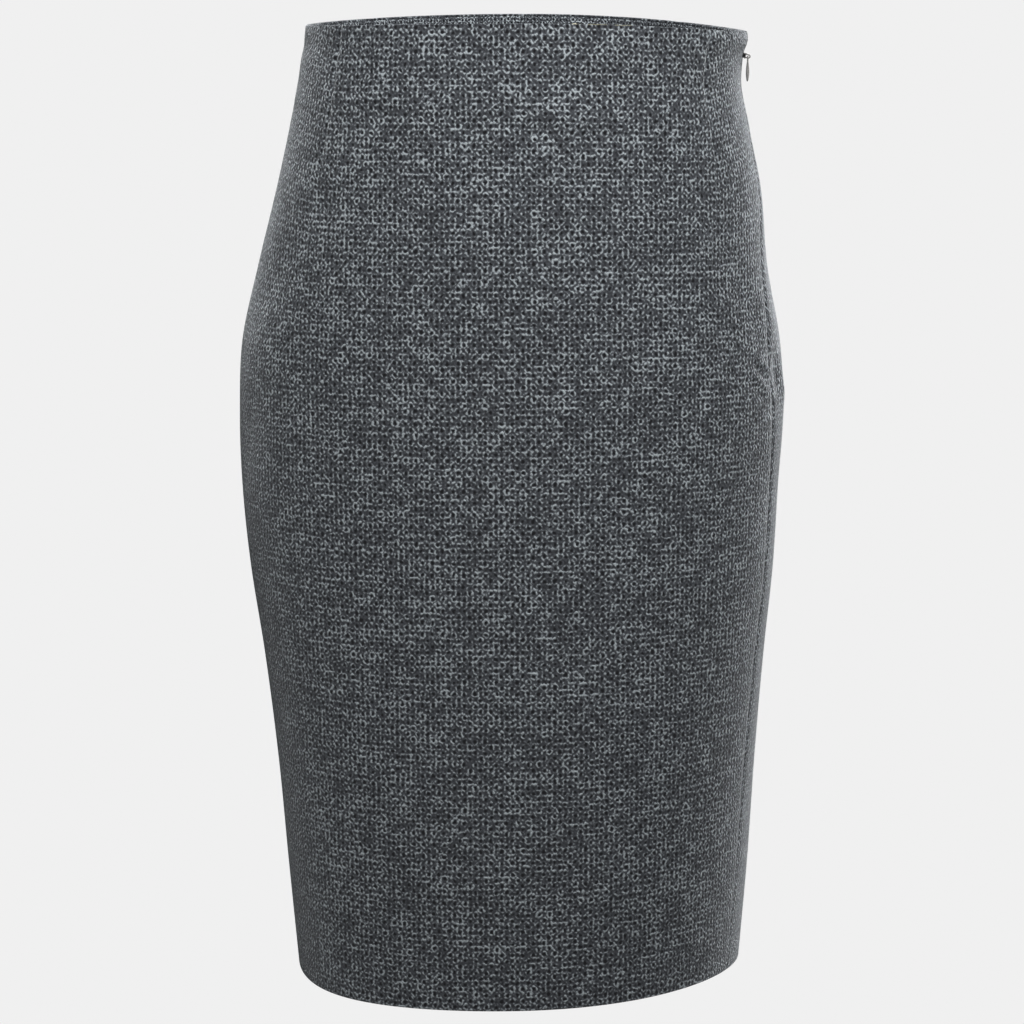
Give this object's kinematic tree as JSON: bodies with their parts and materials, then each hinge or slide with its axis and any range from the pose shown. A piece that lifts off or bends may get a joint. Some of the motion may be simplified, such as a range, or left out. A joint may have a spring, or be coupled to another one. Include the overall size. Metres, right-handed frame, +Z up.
{
  "type": "pencil skirt",
  "caption": "Knee-length tweed pencil skirt, high waist with an inner facing, darts, side zip with a pull tab and a back vent, hollow and filled out as worn.",
  "frame": {"origin": "centre of the waist opening, at the level of its side points", "axes": "front faces -Y, the wearer's left with the side zip is +X, +Z up out of the waist"},
  "size_m": [0.3467, 0.2525, 0.6126],
  "materials": {
    "tweed": "matt woven wool tweed, light flecks on dark yarn",
    "tweed_facing": "the same tweed, seen from inside",
    "zip_tape": "plain woven tape",
    "zip_metal": "dark nickel"
  },
  "bodies": {
    "root": {"front_panel": "tweed", "back_left_panel": "tweed", "back_right_panel": "tweed", "front_facing": "tweed_facing", "back_facing": "tweed_facing", "zip_tape_front": "zip_tape", "zip_tape_back": "zip_tape", "zip_slider": "zip_metal"},
    "pull": {"zip_pull": "zip_metal"}
  },
  "joints": [
    {"name": "pull_swing", "type": "hinge", "parent": "root", "child": "pull", "pos_m": [0.13939, -0.01119, -0.01928], "axis": [-0.125, -0.9922, 0], "range_deg": [-8, 165]}
  ]
}
